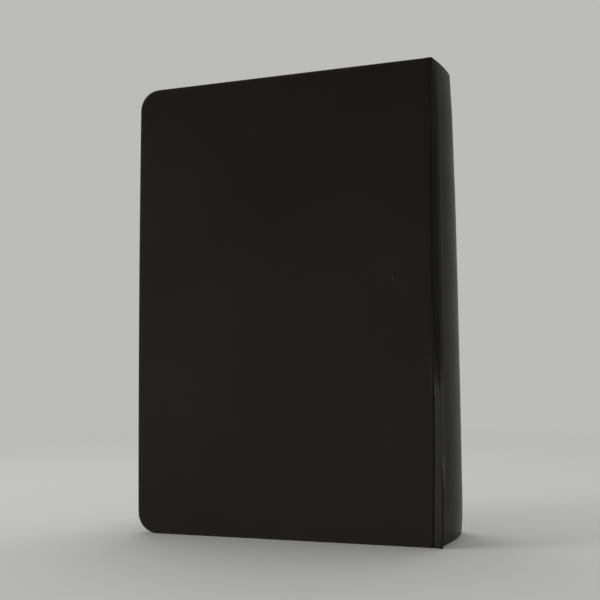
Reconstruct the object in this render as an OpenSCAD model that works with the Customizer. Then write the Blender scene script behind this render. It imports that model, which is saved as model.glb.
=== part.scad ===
// Choir binder: two boarded covers hinge on a curved spine that carries a ring mechanism.
// Millimetres, +Z up, spine towards +X, front cover towards -Y, origin at the centre of the foot.

/* [Binder] */
// Height of the closed binder
binder_h = 279.4; // [230:0.1:340]
// Width of a cover, from the fore edge to the spine's shoulder
cover_w = 190.5; // [150:0.1:240]
// Thickness of the closed binder over both covers
binder_t = 60; // [50:0.5:80]
// Radius of the covers' fore-edge corners
corner_r = 12.7; // [5:0.1:20]

/* [Case layers] */
// Thickness of the leatherette
wrap_t = 0.6; // [0.4:0.05:0.9]
// Thickness of the boards
board_t = 2.2; // [1.5:0.1:3]
// Thickness of the inside sheets
liner_t = 0.4; // [0.2:0.05:0.6]
// Width of leatherette turned in over a board's edge
turn_in_w = 15; // [10:0.5:20]
// Distance from a cover's edge to its inside sheet
liner_inset = 4; // [2:0.5:7]
// Glue line between a board and what wraps it
glue_gap = 0.05; // [0.02:0.01:0.1]

/* [Spine and joints] */
// Rise of the spine's curve over its shoulders
spine_bulge = 1.5; // [0.5:0.1:4]
// Width of a flexible joint on each side of the shoulder
joint_w = 4.5; // [3.5:0.1:7]
// Outside radius of a shoulder
shoulder_r = 2.5; // [1.5:0.1:3]
// Distance of a joint's ends from the head and foot
joint_end_gap = 0.3; // [0.1:0.1:1]

/* [Pockets] */
// Height of an inside pocket
pocket_h = 140; // [90:1:180]
// Distance of a pocket from the cover's fore, foot and hinge edges
pocket_inset = 8; // [7:0.5:14]
// Thickness of a pocket's panel
pocket_t = 0.5; // [0.3:0.1:0.8]
// Room behind a pocket's panel
pocket_room = 0.5; // [0.3:0.1:1]
// Width of a pocket's seam
seam_w = 4; // [3:0.5:8]

/* [Ring plate] */
// Distance of the ring plate from the binder's head and foot
plate_end_gap = 14.7; // [10:0.1:25]
// Width of the ring plate
plate_w = 26; // [24:0.5:32]
// Thickness of the ring plate's steel
plate_t = 0.9; // [0.7:0.05:1.1]
// Height of the ring plate's side walls
plate_wall_h = 3.8; // [3.6:0.1:4.5]
// Height of the ring plate's crown over its seat
plate_crown_h = 8.6; // [8.2:0.1:10]
// Width of the lips folded in under the ring plate
plate_lip_w = 2.6; // [2:0.1:3]
// Width of the opening for a lever at the ring plate's end
notch_w = 16.4; // [15:0.1:18]
// Depth of that opening
notch_d = 9; // [8:0.5:12]

/* [Rings] */
// Inside diameter of a closed ring
ring_inner_d = 31.75; // [25.4:0.05:38.1]
// Diameter of the ring wire
wire_d = 3.2; // [2.6:0.1:3.9]
// Distance of the outer rings from the ring plate's ends
ring_end_gap = 17; // [14:0.5:25]
// Distance of a ring's foot from the binder's middle plane
shank_u = 7.5; // [6.5:0.1:9]
// Radius of the bend above a ring's foot
foot_bend_r = 3.5; // [3:0.1:5]
// Gap between closed ring tips
tip_gap = 0.1; // [0.05:0.01:0.2]

/* [Blades] */
// Thickness of a blade
blade_t = 0.9; // [0.7:0.05:1]
// Radius of the bead that a blade turns on
bead_r = 0.8; // [0.6:0.05:0.9]
// Running gap round a bead
bead_gap = 0.1; // [0.05:0.01:0.15]
// Gap between the blades' inner edges
blade_split = 0.3; // [0.2:0.05:0.6]

/* [Levers] */
// Distance of a lever's pin from the ring plate's end
pin_end_gap = 5; // [4.5:0.1:6]
// Radius of a lever's pin
pin_r = 0.8; // [0.7:0.05:1]
// Height of a lever's pin over the seat
pin_v = 2.2; // [2.1:0.05:2.4]
// Radius of a lever's hub
hub_r = 1.7; // [1.6:0.05:1.8]
// Width of a lever's thumb plate
lever_w = 14; // [10:0.5:14.4]
// Height of a lever over the seat
lever_h = 17; // [13:0.5:22]
// Thickness of a lever's steel
lever_t = 1.2; // [1:0.1:1.5]
// Width of the tongue that lifts the blades
tongue_w = 4; // [3:0.5:5]

/* [Rivets] */
// Radius of a rivet's post
rivet_r = 2.2; // [1.8:0.1:2.6]
// Radius of a rivet's domed head
rivet_head_r = 4.2; // [3.6:0.1:5]
// Height of a rivet's domed head
rivet_head_h = 1.6; // [1:0.1:2.2]
// Radius of a rivet's flange under the leatherette
rivet_flange_r = 4.5; // [3.6:0.1:6]
// Thickness of that flange
rivet_flange_t = 0.6; // [0.4:0.05:0.8]
// Distance of a rivet from the outer ring next to it
rivet_from_ring = 28; // [20:0.5:40]

/* [Hidden] */

// How far a cut runs past the faces that it opens
past = 1;
// Smallest corner radius left when an outline is set in
least_corner_r = 1;

// Case: lines across the binder
half_t = binder_t / 2;
fore_x = -(cover_w + spine_bulge) / 2;
shoulder_x = fore_x + cover_w;
hinge_x = shoulder_x - joint_w;
spine_half = half_t - joint_w;

// Case: depths below a cover's outer face
board_y = wrap_t;
turn_in_y = board_y + board_t;
liner_y = turn_in_y + wrap_t;
inner_y = liner_y + liner_t;
seam_y = inner_y;
pocket_y = seam_y + pocket_room;
pocket_w = hinge_x - fore_x - 2 * pocket_inset;

// Spine: the arc through both shoulders and its crest
spine_r = (pow(spine_half, 2) + pow(spine_bulge, 2)) / (2 * spine_bulge);
spine_cx = shoulder_x + spine_bulge - spine_r;
spine_fn = 1440;

// Ring plate: seat line on the inside of the spine, and the arch between its walls
seat_gap = 0.05;
seat_x = spine_cx + sqrt(pow(spine_r - inner_y, 2) - pow(plate_w / 2, 2)) - seat_gap;
plate_len = binder_h - 2 * plate_end_gap;
plate_in_u = plate_w / 2 - plate_t;
arch_rise = plate_crown_h - plate_wall_h;
arch_r = (pow(plate_w / 2, 2) + pow(arch_rise, 2)) / (2 * arch_rise);
arch_v = plate_crown_h - arch_r;

// Blades: the bead's line in the corner of wall and lip
bead_u = plate_in_u - bead_gap - bead_r;
bead_v = plate_t + bead_gap + bead_r;
blade_low_v = bead_v - blade_t / 2;
blade_top_v = bead_v + blade_t / 2;

// Rings: the foot bend and the round part meet at foot_angle from the ring's lowest point
wire_r = wire_d / 2;
ring_r = ring_inner_d / 2 + wire_r;
foot_straight = 1.25;
bend_u = shank_u + foot_bend_r;
bend_v = blade_top_v + foot_straight;
foot_angle = asin(bend_u / (ring_r + foot_bend_r));
ring_v = bend_v + (ring_r + foot_bend_r) * cos(foot_angle);
tip_angle = asin(tip_gap / 2 / ring_r);
// The wire thins a little where it is bent, and the bend laps into its neighbours by this angle
bend_thin = 0.05;
bend_lap = 5;
wire_step = 0.6;
tenon_r = wire_r - wire_step;
tenon_gap = 0.02;
cone_base_r = wire_r - wire_step;
cone_tip_r = cone_base_r / 3;
cone_len = 1;
cone_gap = 0.1;
middle_z = binder_h / 2;
ring_pitch = plate_len / 2 - ring_end_gap;

// Slots in the ring plate that let the rings swing
slot_play = 0.5;
slot_u = shank_u - wire_r - slot_play;
slot_edge = 0.3;

// Levers
pin_z = plate_end_gap + pin_end_gap;
pin_fit = 0.03;
hub_fit = 0.05;
blade_to_hub = 1.3;
blade_end_z = pin_z + hub_r + blade_to_hub;
blade_len = binder_h - 2 * blade_end_z;
tongue_lap = 2;
tongue_t = 1;
tongue_gap = 0.3;
tongue_len = hub_r + blade_to_hub + tongue_lap;
thumb_corner_r = 4;
thumb_roll_r = 1.1;

// Rivets
rivet_fit = 0.05;
rivet_pitch = ring_pitch - rivet_from_ring;
// The flange's rim touches the glue line under the curved leatherette
flange_out_x = spine_cx + sqrt(pow(spine_r - wrap_t, 2) - pow(rivet_flange_r, 2)) - glue_gap;
flange_x = flange_out_x - rivet_flange_t;
blade_rivet_gap = 0.8;

leatherette = [0.12, 0.114, 0.106];
lining = [0.15, 0.145, 0.14];
greyboard = [0.55, 0.5, 0.43];
nickel = [0.76, 0.76, 0.74];

$fn = 96;

// Outline of a cover, set in from its fore, head and foot edges
module cover_outline(inset, past_hinge = 0) {
    r = max(corner_r - inset, least_corner_r);
    x = fore_x + inset;
    translate([x + r, inset]) square([hinge_x + past_hinge - x - r, binder_h - 2 * inset]);
    translate([x, inset + r]) square([2 * r, binder_h - 2 * (inset + r)]);
    for (z = [inset + r, binder_h - inset - r]) translate([x + r, z]) circle(r);
}

// A layer of the front cover between two depths below its outer face
module cover_layer(from_y, to_y, inset, past_hinge = 0) {
    translate([0, to_y - half_t, 0]) rotate([90, 0, 0])
        linear_extrude(to_y - from_y) cover_outline(inset, past_hinge);
}

// Puts a piece of the front side on the back side
module on_back() {
    mirror([0, 1, 0]) children();
}

module cover_board() {
    color(greyboard) cover_layer(board_y + glue_gap, turn_in_y - glue_gap, wrap_t + glue_gap);
}

// Leatherette over the outer face and three edges, turned in round the inside
module cover_wrap() {
    color(leatherette) difference() {
        cover_layer(0, liner_y, 0);
        cover_layer(board_y, turn_in_y, wrap_t, past);
        cover_layer(turn_in_y - glue_gap, liner_y + past, turn_in_w, past);
    }
}

// Inside sheet: it lies on the turned-in leatherette and fills the window inside it
module cover_liner() {
    color(lining) {
        cover_layer(liner_y, inner_y, liner_inset);
        cover_layer(turn_in_y, liner_y, turn_in_w + glue_gap);
    }
}

// A flat piece of a pocket, measured from the pocket's fore edge and foot
module pocket_panel(x, z, w, h, from_y, to_y) {
    translate([fore_x + pocket_inset + x, from_y - half_t, pocket_inset + z])
        cube([w, to_y - from_y, h]);
}

module cover_pocket() {
    color(leatherette) pocket_panel(0, 0, pocket_w, pocket_h, pocket_y, pocket_y + pocket_t);
}

module cover_pocket_seams() {
    color(leatherette) {
        pocket_panel(0, 0, pocket_w, seam_w, seam_y, pocket_y);
        for (x = [0, pocket_w - seam_w])
            pocket_panel(x, seam_w, seam_w, pocket_h - seam_w, seam_y, pocket_y);
    }
}

// A layer of the curved spine between two depths below its outer face
module spine_layer(from_d, to_d, from_z, to_z) {
    translate([spine_cx, 0, from_z]) linear_extrude(to_z - from_z) intersection() {
        difference() {
            circle(spine_r - from_d, $fn = spine_fn);
            circle(spine_r - to_d, $fn = spine_fn);
        }
        translate([0, -spine_half]) square([spine_r + past, 2 * spine_half]);
    }
}

// Holes through the spine for the rivets' posts, with room for their flanges
module rivet_holes() {
    for (z = [-rivet_pitch, rivet_pitch]) translate([0, 0, middle_z + z]) rotate([0, 90, 0]) {
        cylinder(r = rivet_r + rivet_fit, h = shoulder_x + spine_bulge - wrap_t);
        translate([0, 0, flange_x]) cylinder(r = rivet_flange_r + rivet_fit, h = rivet_flange_t + past);
    }
}

module spine_board() {
    color(greyboard) difference() {
        spine_layer(board_y + glue_gap, turn_in_y - glue_gap,
            wrap_t + glue_gap, binder_h - wrap_t - glue_gap);
        rivet_holes();
    }
}

module spine_wrap() {
    color(leatherette) difference() {
        spine_layer(0, liner_y, 0, binder_h);
        spine_layer(board_y, turn_in_y, wrap_t, binder_h - wrap_t);
        spine_layer(turn_in_y - glue_gap, liner_y + past, turn_in_w, binder_h - turn_in_w);
    }
}

module spine_liner() {
    color(lining) difference() {
        union() {
            spine_layer(liner_y, inner_y, liner_inset, binder_h - liner_inset);
            spine_layer(turn_in_y, liner_y, turn_in_w + glue_gap, binder_h - turn_in_w - glue_gap);
        }
        rivet_holes();
    }
}

// Square with its outer corner rounded, in the corner between front cover and spine
module shoulder_block(in) {
    w = joint_w - in;
    r = shoulder_r - in;
    translate([hinge_x, -spine_half - w]) intersection() {
        square(w);
        union() {
            square([w - r, w]);
            translate([0, r]) square([w, w - r]);
            translate([w - r, r]) circle(r);
        }
    }
}

// A layer of the front joint, bent round the shoulder
module joint_layer(from_d, to_d) {
    translate([0, 0, joint_end_gap]) linear_extrude(binder_h - 2 * joint_end_gap) difference() {
        shoulder_block(from_d);
        shoulder_block(to_d);
    }
}

module joint_strip() {
    color(leatherette) joint_layer(0, wrap_t);
}

module joint_lining() {
    color(lining) joint_layer(wrap_t, wrap_t + liner_t);
}

// Ring mechanism frame: X across the spine (u), Y up from the seat (v), Z along the spine
module on_seat() {
    translate([seat_x, 0, 0]) rotate(90) children();
}

module along_u(r, w) {
    rotate([0, 90, 0]) cylinder(r = r, h = w, center = true);
}

module along_v(r, from_v, to_v) {
    translate([0, from_v, 0]) rotate([-90, 0, 0]) cylinder(r = r, h = to_v - from_v);
}

// Places a piece of the upper end at the lower end
module at_lower_end() {
    translate([0, 0, binder_h]) mirror([0, 0, 1]) children();
}

// Section of the ring plate: an arch on two walls with lips folded in
module plate_section() {
    difference() {
        intersection() {
            translate([0, arch_v]) circle(arch_r);
            translate([-plate_w / 2, 0]) square([plate_w, plate_crown_h + past]);
        }
        intersection() {
            translate([0, arch_v]) circle(arch_r - plate_t);
            translate([-plate_in_u, plate_t]) square([2 * plate_in_u, plate_crown_h]);
        }
        translate([plate_lip_w - plate_w / 2, -past])
            square([plate_w - 2 * plate_lip_w, 2 * past + plate_t]);
    }
}

module ring_slots() {
    slot_w = plate_in_u - slot_edge - slot_u;
    slot_len = wire_d + 2 * slot_play;
    for (ring = [-1, 0, 1], side = [0, 1])
        mirror([side, 0, 0])
            translate([slot_u, bead_v + bead_r + bead_gap, middle_z + ring * ring_pitch - slot_len / 2])
                cube([slot_w, plate_crown_h, slot_len]);
}

module ring_base_plate() {
    color(nickel) on_seat() difference() {
        translate([0, 0, plate_end_gap]) linear_extrude(plate_len) plate_section();
        ring_slots();
        for (z = [plate_end_gap - past, binder_h - plate_end_gap - notch_d])
            translate([-notch_w / 2, plate_t, z]) cube([notch_w, plate_crown_h, notch_d + past]);
        for (z = [pin_z, binder_h - pin_z])
            translate([0, pin_v, z]) along_u(pin_r + pin_fit, plate_w + past);
        for (z = [-rivet_pitch, rivet_pitch])
            translate([0, 0, middle_z + z])
                along_v(rivet_r + rivet_fit, plate_wall_h, plate_crown_h + past);
    }
}

// Dome of a rivet: the cap of a sphere over a round foot
module rivet_dome() {
    dome_r = (pow(rivet_head_r, 2) + pow(rivet_head_h, 2)) / (2 * rivet_head_h);
    intersection() {
        along_v(rivet_head_r, 0, rivet_head_h + past);
        translate([0, rivet_head_h - dome_r, 0]) sphere(dome_r);
    }
}

module plate_rivet(z) {
    color(nickel) on_seat() translate([0, 0, z]) {
        along_v(rivet_r, seat_x - flange_out_x, plate_crown_h + rivet_head_h / 2);
        along_v(rivet_flange_r, seat_x - flange_out_x, seat_x - flange_x);
        translate([0, plate_crown_h, 0]) rivet_dome();
    }
}

module upper_rivet() {
    plate_rivet(middle_z + rivet_pitch);
}

module lower_rivet() {
    plate_rivet(middle_z - rivet_pitch);
}

// Carrier of the back half rings: a flat strip that turns on a bead along its outer edge
module blade() {
    color(nickel) difference() {
        union() {
            translate([bead_u, bead_v, blade_end_z]) cylinder(r = bead_r, h = blade_len);
            translate([blade_split / 2, blade_low_v, blade_end_z])
                cube([bead_u - blade_split / 2, blade_t, blade_len]);
        }
        for (ring = [-1, 0, 1])
            translate([shank_u, 0, middle_z + ring * ring_pitch])
                along_v(tenon_r + tenon_gap, blade_low_v - past, blade_top_v + past);
        for (z = [-rivet_pitch, rivet_pitch])
            translate([0, 0, middle_z + z]) along_v(rivet_r + blade_rivet_gap, -past, plate_crown_h);
    }
}

// Half ring of the back side, with its tenon in the blade and its tip at the middle plane
module half_ring(ring) {
    translate([0, 0, middle_z + ring * ring_pitch]) {
        translate([shank_u, 0, 0]) along_v(tenon_r, blade_low_v, bend_v - foot_straight / 2);
        translate([shank_u, 0, 0]) along_v(wire_r, blade_top_v, bend_v);
        translate([bend_u, bend_v, 0]) rotate(90 + foot_angle - bend_lap)
            rotate_extrude(angle = 90 - foot_angle + 2 * bend_lap)
                translate([foot_bend_r, 0]) circle(wire_r - bend_thin);
        translate([0, ring_v, 0]) rotate(foot_angle - 90)
            rotate_extrude(angle = 180 - foot_angle - tip_angle) translate([ring_r, 0]) circle(wire_r);
    }
}

// Cone on a ring's tip, pointing across the middle plane; grown by its gap it cuts the socket
module tip_cone(ring, grow) {
    translate([tip_gap / 2, ring_v + ring_r, middle_z + ring * ring_pitch]) rotate([0, -90, 0]) {
        cylinder(r1 = cone_base_r + grow, r2 = cone_tip_r + grow, h = cone_len + tip_gap + grow);
        translate([0, 0, -cone_len / 2]) cylinder(r = cone_base_r + grow, h = cone_len / 2);
    }
}

module back_ring(ring) {
    color(nickel) on_seat() {
        half_ring(ring);
        tip_cone(ring, 0);
    }
}

module front_ring(ring) {
    color(nickel) on_seat() difference() {
        mirror([1, 0, 0]) half_ring(ring);
        tip_cone(ring, cone_gap);
    }
}

module front_blade() {
    on_seat() mirror([1, 0, 0]) blade();
}

module back_blade() {
    on_seat() blade();
}

// Thumb lever of the upper end: hub, upright thumb plate with a rolled edge, and lifting tongue
module lever() {
    thumb_z = binder_h - pin_z;
    color(nickel) on_seat() difference() {
        union() {
            translate([0, pin_v, thumb_z]) along_u(hub_r, lever_w);
            translate([-lever_w / 2, pin_v, thumb_z - lever_t / 2])
                cube([lever_w, lever_h - thumb_corner_r - pin_v, lever_t]);
            translate([thumb_corner_r - lever_w / 2, pin_v, thumb_z - lever_t / 2])
                cube([lever_w - 2 * thumb_corner_r, lever_h - pin_v, lever_t]);
            for (u = [-1, 1])
                translate([u * (lever_w / 2 - thumb_corner_r), lever_h - thumb_corner_r, thumb_z])
                    cylinder(r = thumb_corner_r, h = lever_t, center = true);
            translate([0, lever_h, thumb_z]) along_u(thumb_roll_r, lever_w - 2 * thumb_corner_r);
            translate([-tongue_w / 2, blade_low_v - tongue_gap - tongue_t, thumb_z - tongue_len])
                cube([tongue_w, tongue_t, tongue_len]);
        }
        translate([0, pin_v, thumb_z]) along_u(pin_r + hub_fit, lever_w + past);
    }
}

module upper_lever() {
    lever();
}

module lower_lever() {
    at_lower_end() lever();
}

module lever_pin() {
    color(nickel) on_seat() translate([0, pin_v, binder_h - pin_z])
        along_u(pin_r, plate_w - 2 * pin_fit);
}

module upper_lever_pin() {
    lever_pin();
}

module lower_lever_pin() {
    at_lower_end() lever_pin();
}

cover_board();  // front_board
cover_wrap();  // front_wrap
cover_liner();  // front_liner
cover_pocket();  // front_pocket
cover_pocket_seams();  // front_pocket_seams
on_back() cover_board();  // back_board
on_back() cover_wrap();  // back_wrap
on_back() cover_liner();  // back_liner
on_back() cover_pocket();  // back_pocket
on_back() cover_pocket_seams();  // back_pocket_seams
spine_board();
spine_wrap();
spine_liner();
joint_strip();  // front_joint_strip
joint_lining();  // front_joint_lining
on_back() joint_strip();  // back_joint_strip
on_back() joint_lining();  // back_joint_lining
ring_base_plate();
upper_rivet();
lower_rivet();
front_blade();
front_ring(1);  // front_ring_upper
front_ring(0);  // front_ring_middle
front_ring(-1);  // front_ring_lower
back_blade();
back_ring(1);  // back_ring_upper
back_ring(0);  // back_ring_middle
back_ring(-1);  // back_ring_lower
upper_lever();
lower_lever();
upper_lever_pin();
lower_lever_pin();
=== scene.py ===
"""A closed choir binder standing on its foot, with its case and its ring mechanism."""

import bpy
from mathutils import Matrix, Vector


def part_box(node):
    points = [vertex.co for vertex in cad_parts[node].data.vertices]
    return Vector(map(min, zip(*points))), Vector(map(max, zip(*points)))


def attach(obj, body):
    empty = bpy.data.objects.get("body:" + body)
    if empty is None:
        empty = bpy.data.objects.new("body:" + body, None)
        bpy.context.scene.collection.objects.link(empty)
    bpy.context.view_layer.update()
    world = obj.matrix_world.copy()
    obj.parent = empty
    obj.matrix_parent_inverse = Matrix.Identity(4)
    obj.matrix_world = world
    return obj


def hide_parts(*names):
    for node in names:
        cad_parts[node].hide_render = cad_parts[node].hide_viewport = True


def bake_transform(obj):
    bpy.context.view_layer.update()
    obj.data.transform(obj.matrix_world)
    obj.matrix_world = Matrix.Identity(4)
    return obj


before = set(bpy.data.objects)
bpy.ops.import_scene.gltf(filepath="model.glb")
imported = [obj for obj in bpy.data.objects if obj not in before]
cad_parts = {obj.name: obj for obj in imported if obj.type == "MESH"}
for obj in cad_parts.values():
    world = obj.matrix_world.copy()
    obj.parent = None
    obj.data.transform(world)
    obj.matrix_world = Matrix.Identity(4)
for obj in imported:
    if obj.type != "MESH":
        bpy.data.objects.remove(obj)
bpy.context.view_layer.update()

import math

import bpy
import numpy as np
from mathutils import Matrix

scene = bpy.context.scene
scene.view_settings.view_transform = "Standard"
MM = 0.001


# Camera: it stands a little below the middle of the front cover and to the spine's side of it.
# Its place was solved from the corners of the case, in a picture of 600 by 600 pixels.
IMAGE_PX = 600
FOCAL_PX = 946.2
SENSOR_MM = 36
CAMERA_PLACE = (0.19966, -0.55871, 0.09482)
CAMERA_TURN = math.radians(19.56)
CAMERA_RISE = math.radians(4.71)
CAMERA_ROLL = math.radians(-0.42)

camera = bpy.data.objects.new("camera", bpy.data.cameras.new("camera"))
camera.data.sensor_width = SENSOR_MM
camera.data.lens = FOCAL_PX / IMAGE_PX * SENSOR_MM
camera.matrix_world = (
    Matrix.Translation(CAMERA_PLACE)
    @ Matrix.Rotation(CAMERA_TURN, 4, "Z")
    @ Matrix.Rotation(math.pi / 2 + CAMERA_RISE, 4, "X")
    @ Matrix.Rotation(CAMERA_ROLL, 4, "Z")
)
scene.collection.objects.link(camera)
scene.camera = camera


# Studio: a pale paper floor that fades into a plain grey surround, lit by the surround itself,
# a wide soft box overhead and another to the left of the camera.
BACKGROUND = (0.505, 0.502, 0.498, 1)
FLOOR_TONE = (0.425, 0.423, 0.42, 1)
FILL_TONE = (1, 0.995, 0.985, 1)
FILL_LIGHT = 0.46
FLOOR_RADIUS = 6.0
FADE_FROM, FADE_TO = 0.2, 1.3


def add_node(tree, kind, inputs=None, **options):
    """Adds a shader node, sets its options, and sets or links its inputs by name or number."""
    made = tree.nodes.new(kind)
    for option, value in options.items():
        setattr(made, option, value)
    for socket, value in (inputs or {}).items():
        if isinstance(value, bpy.types.NodeSocket):
            tree.links.new(value, made.inputs[socket])
        else:
            made.inputs[socket].default_value = value
    return made


def calc(tree, operation, *values):
    """The result of a shader's arithmetic on two or three values."""
    return add_node(tree, "ShaderNodeMath", dict(enumerate(values)), operation=operation).outputs[0]


def new_material(name):
    """A material, its node tree, its shader, and the places of its points in metres."""
    material = bpy.data.materials.new(name)
    material.use_nodes = True
    tree = material.node_tree
    place = add_node(tree, "ShaderNodeTexCoord").outputs["Object"]
    return material, tree, tree.nodes["Principled BSDF"], place


def paper_floor():
    """Matte paper near the object, blended by its distance from the middle into the surround's tone."""
    material, tree, paper, place = new_material("studio_paper")
    paper.inputs["Base Color"].default_value = FLOOR_TONE
    paper.inputs["Roughness"].default_value = 0.9
    paper.inputs["Specular IOR Level"].default_value = 0.1
    distance = add_node(tree, "ShaderNodeVectorMath", {0: place}, operation="LENGTH")
    fade = add_node(
        tree, "ShaderNodeMapRange",
        {"Value": distance.outputs["Value"], "From Min": FADE_FROM, "From Max": FADE_TO},
        interpolation_type="SMOOTHSTEP",
    )
    surround = add_node(tree, "ShaderNodeEmission", {"Color": BACKGROUND})
    mixed = add_node(
        tree, "ShaderNodeMixShader",
        {0: fade.outputs["Result"], 1: paper.outputs["BSDF"], 2: surround.outputs["Emission"]},
    )
    tree.links.new(mixed.outputs["Shader"], tree.nodes["Material Output"].inputs["Surface"])
    return material


def surround_light():
    """The world: its pale tone to the camera and in reflections, and an even fill for all other rays."""
    world = bpy.data.worlds.new("surround")
    world.use_nodes = True
    scene.world = world
    tree = world.node_tree
    fill = tree.nodes["Background"]
    fill.inputs["Color"].default_value = FILL_TONE
    fill.inputs["Strength"].default_value = FILL_LIGHT
    seen = add_node(tree, "ShaderNodeBackground", {"Color": BACKGROUND})
    ray = add_node(tree, "ShaderNodeLightPath").outputs
    shiny = calc(tree, "MAXIMUM", ray["Is Glossy Ray"], ray["Is Transmission Ray"])
    direct = calc(tree, "MAXIMUM", ray["Is Camera Ray"], shiny)
    mixed = add_node(
        tree, "ShaderNodeMixShader",
        {0: direct, 1: fill.outputs["Background"], 2: seen.outputs["Background"]},
    )
    tree.links.new(mixed.outputs["Shader"], tree.nodes["World Output"].inputs["Surface"])


def soft_box(name, place, aim, width, height, watts):
    """An oblong area lamp at place, facing aim."""
    lamp = bpy.data.lights.new(name, "AREA")
    lamp.shape = "RECTANGLE"
    lamp.size = width
    lamp.size_y = height
    lamp.energy = watts
    made = bpy.data.objects.new(name, lamp)
    direction = np.subtract(aim, place)
    turn = math.atan2(direction[1], direction[0]) - math.pi / 2
    tilt = math.atan2(direction[2], math.hypot(direction[0], direction[1])) + math.pi / 2
    made.matrix_world = (
        Matrix.Translation(place) @ Matrix.Rotation(turn, 4, "Z") @ Matrix.Rotation(tilt, 4, "X")
    )
    scene.collection.objects.link(made)


spokes = np.linspace(0, 2 * np.pi, 64, endpoint=False)
floor_mesh = bpy.data.meshes.new("floor")
floor_rim = np.stack([FLOOR_RADIUS * np.cos(spokes), FLOOR_RADIUS * np.sin(spokes), 0 * spokes], -1)
floor_mesh.from_pydata(floor_rim, [], [list(range(len(spokes)))])
floor_mesh.materials.append(paper_floor())
floor = bpy.data.objects.new("floor", floor_mesh)
scene.collection.objects.link(floor)
surround_light()
soft_box("soft_box_over", place=(-0.1, 0.4, 1.6), aim=(0, 0, 0.1), width=1.2, height=1.2, watts=20)
soft_box("soft_box_left", place=(-1.93, -1.06, 0.3), aim=(0, 0, 0.08), width=0.92, height=1.47, watts=55)


# Covers: a die-cut board of grey pulp in each, under black leatherette. The leatherette is a coated cloth,
# glued on, drawn tight round three edges, pleated round the fore corners and turned in on the inside.
wrap_low, wrap_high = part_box("front_wrap")
FORE_X, HINGE_X = wrap_low.x / MM, wrap_high.x / MM
HEIGHT = wrap_high.z / MM
HALF_T = -wrap_low.y / MM
WALL = (wrap_high.y - wrap_low.y) / MM
CORNER_R = 12.7
EDGE_R = 0.75
INNER_EDGE_R = 0.8
HINGE_EDGE_R = 0.9
COVER_BOW = 1.2
SIDES = {"front": -1, "back": 1}
# The board lies this far inside the leatherette, under a film of glue, and is cut short at the hinge.
BOARD_SKIN = 0.65
BOARD_GLUE = 0.25
BOARD_GAP = 1.5
BOARD_EDGE_R = 0.4
BOARD_HINGE_R = 1.0
PULP_TONE, PULP_TONE_PALE = (0.2, 0.16, 0.115), (0.31, 0.25, 0.18)
# Above the first height the joints lie smooth, and below the second the leatherette is creased there.
SMOOTH_ABOVE, CREASED_BELOW = 122, 78
# Share of the crease in each joint: the front cover is opened far more often than the back one.
CREASE_SHARE = {"front": 1.0, "back": 0.3}
CREASE_R = 0.4
# By height: how far the joint's edge strays from the hinge line. The cover's face gives way this far in.
JOINT_STRAY_Z = (0, 20, 45, 75, 105, 150)
JOINT_STRAY = (-0.7, -0.3, 0.5, 1.0, 0.9, 0.0)
STRAY_REACH = 30
JOINT_DIP, JOINT_DIP_W = 0.12, 2.5
WAVE_H = 0.03
PLEAT_H, PLEATS = 0.09, 9
RUB_W, CREASE_RUB_W = 0.9, 1.5
LEATHER_TONE = (0.0097, 0.0083, 0.0074)
# The pale tone is painted light: towards the foot the leatherette is paled as if lit by the bright floor.
LEATHER_TONE_FLOOR_LIT = (0.0182, 0.0172, 0.0157)
LEATHER_RUB = (0.032, 0.031, 0.029)
LEATHER_GRAIN = 0.05
LEATHER_ROUGHNESS = (0.27, 0.33)
LEATHER_SPECULAR = 0.028
PEBBLES_PER_M = 1150.0
# From the head down to this height the painted floor light grows, and below it stays at its full share.
FLOOR_LIT_BELOW = 90
LINT = (0.3, 0.29, 0.27)
LINT_FREE_SHARE = 0.8


def rough_value(tree, place, scale, low, high, detail=3.0):
    """A cloudy value between low and high, with clouds of about 1 / scale metres."""
    clouds = add_node(tree, "ShaderNodeTexNoise", {"Vector": place, "Scale": scale, "Detail": detail})
    spread = add_node(
        tree, "ShaderNodeMapRange",
        {"Value": clouds.outputs["Fac"], "From Min": 0.3, "From Max": 0.7, "To Min": low, "To Max": high},
    )
    return spread.outputs["Result"]


def tint(tree, amount, low, high):
    """A colour between low and high, by an amount from 0 to 1."""
    mixed = add_node(tree, "ShaderNodeMix", {"Factor": amount}, data_type="RGBA")
    for socket, colour in ((6, low), (7, high)):
        if isinstance(colour, bpy.types.NodeSocket):
            tree.links.new(colour, mixed.inputs[socket])
        else:
            mixed.inputs[socket].default_value = (*colour, 1)
    return mixed.outputs[2]


def raise_bumps(tree, shader, height, relief):
    """Small relief on a shader: height from 0 to 1 stands for relief millimetres."""
    bump = add_node(
        tree, "ShaderNodeBump", {"Height": height, "Distance": relief * MM, "Strength": 1.0}
    )
    tree.links.new(bump.outputs["Normal"], shader.inputs["Normal"])


def greyboard():
    """Pressed paper pulp: a warm grey with fine fibres and darker flecks."""
    material, tree, shader, place = new_material("greyboard")
    fibres = rough_value(tree, place, 900, 0, 1, 6)
    pulp = tint(tree, fibres, PULP_TONE, PULP_TONE_PALE)
    tree.links.new(pulp, shader.inputs["Base Color"])
    shader.inputs["Roughness"].default_value = 0.92
    shader.inputs["Specular IOR Level"].default_value = 0.15
    raise_bumps(tree, shader, fibres, 0.06)
    return material


pulp_board = greyboard()


def ease(t):
    """Smooth step: 0 below 0, 1 above 1, level at both ends."""
    t = np.clip(t, 0, 1)
    return t * t * (3 - 2 * t)


def creased(side, z):
    """How far a joint is creased at height z: 0 where it lies smooth, 1 where it is folded."""
    return CREASE_SHARE[side] * ease((SMOOTH_ABOVE - z) / (SMOOTH_ABOVE - CREASED_BELOW))


def joint_shift(z):
    """How far the edge of the joint strays from the hinge line at height z."""
    return np.interp(z, JOINT_STRAY_Z, JOINT_STRAY)


def edge_drop(d, radius):
    """How far a rounded edge lies below its face, at a distance d in from the edge: a quarter circle."""
    out = np.clip(radius - d, 0, radius)
    return radius - np.sqrt(radius**2 - out**2)


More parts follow.
